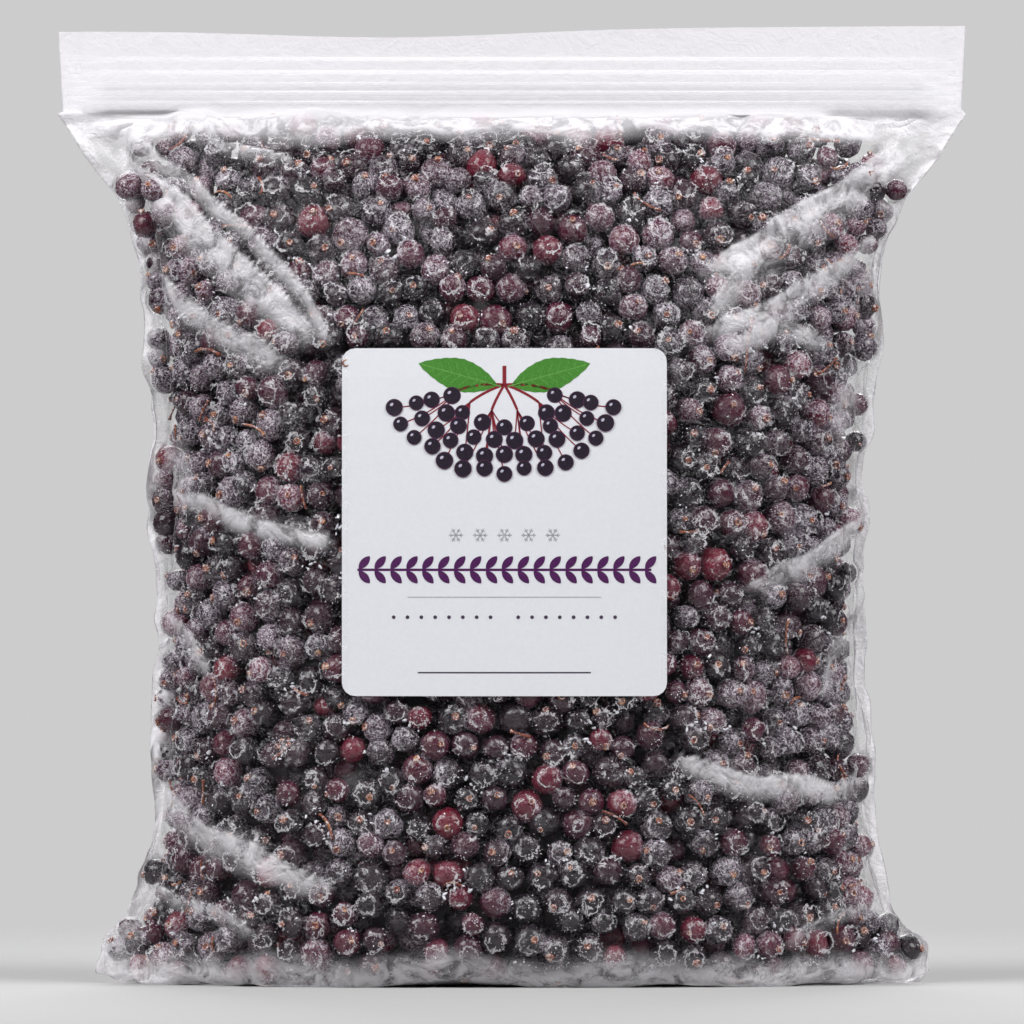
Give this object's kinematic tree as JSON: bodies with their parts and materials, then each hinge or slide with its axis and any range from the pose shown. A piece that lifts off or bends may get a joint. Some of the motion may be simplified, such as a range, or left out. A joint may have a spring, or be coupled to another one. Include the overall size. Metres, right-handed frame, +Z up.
{
  "type": "press-to-close bag of frozen elderberries",
  "caption": "Clear press-to-close film bag packed with frosted elderberries and a few stalks, standing upright on its flattened base, with a paper label on the front.",
  "frame": {"origin": "on the floor, under the middle of the standing bag", "axes": "+Z up, the label faces -Y, and +X is to the right of someone who looks at the label"},
  "size_m": [0.268, 0.1017, 0.28],
  "materials": {
    "film": "gloss",
    "zip_plastic": "satin",
    "label_paper": "satin",
    "frozen_berries": "satin",
    "berry_skin": "satin",
    "dry_stalk": "matte"
  },
  "bodies": {
    "root": {"bag_film": "film", "berry_01": "berry_skin", "berry_02": "berry_skin", "berry_03": "berry_skin", "berry_04": "berry_skin", "berry_05": "berry_skin", "berry_06": "berry_skin", "berry_07": "berry_skin", "berry_08": "berry_skin", "berry_09": "berry_skin", "berry_10": "berry_skin", "berry_11": "berry_skin", "berry_12": "berry_skin", "berry_13": "berry_skin", "berry_14": "berry_skin", "berry_15": "berry_skin", "berry_16": "berry_skin", "berry_17": "berry_skin", "berry_18": "berry_skin", "berry_bed": "frozen_berries", "label": "label_paper", "stalk_01": "dry_stalk", "stalk_02": "dry_stalk", "stalk_03": "dry_stalk", "stalk_04": "dry_stalk", "stalk_05": "dry_stalk", "stalk_06": "dry_stalk", "zip_track_back": "zip_plastic", "zip_track_front": "zip_plastic"}
  },
  "joints": []
}
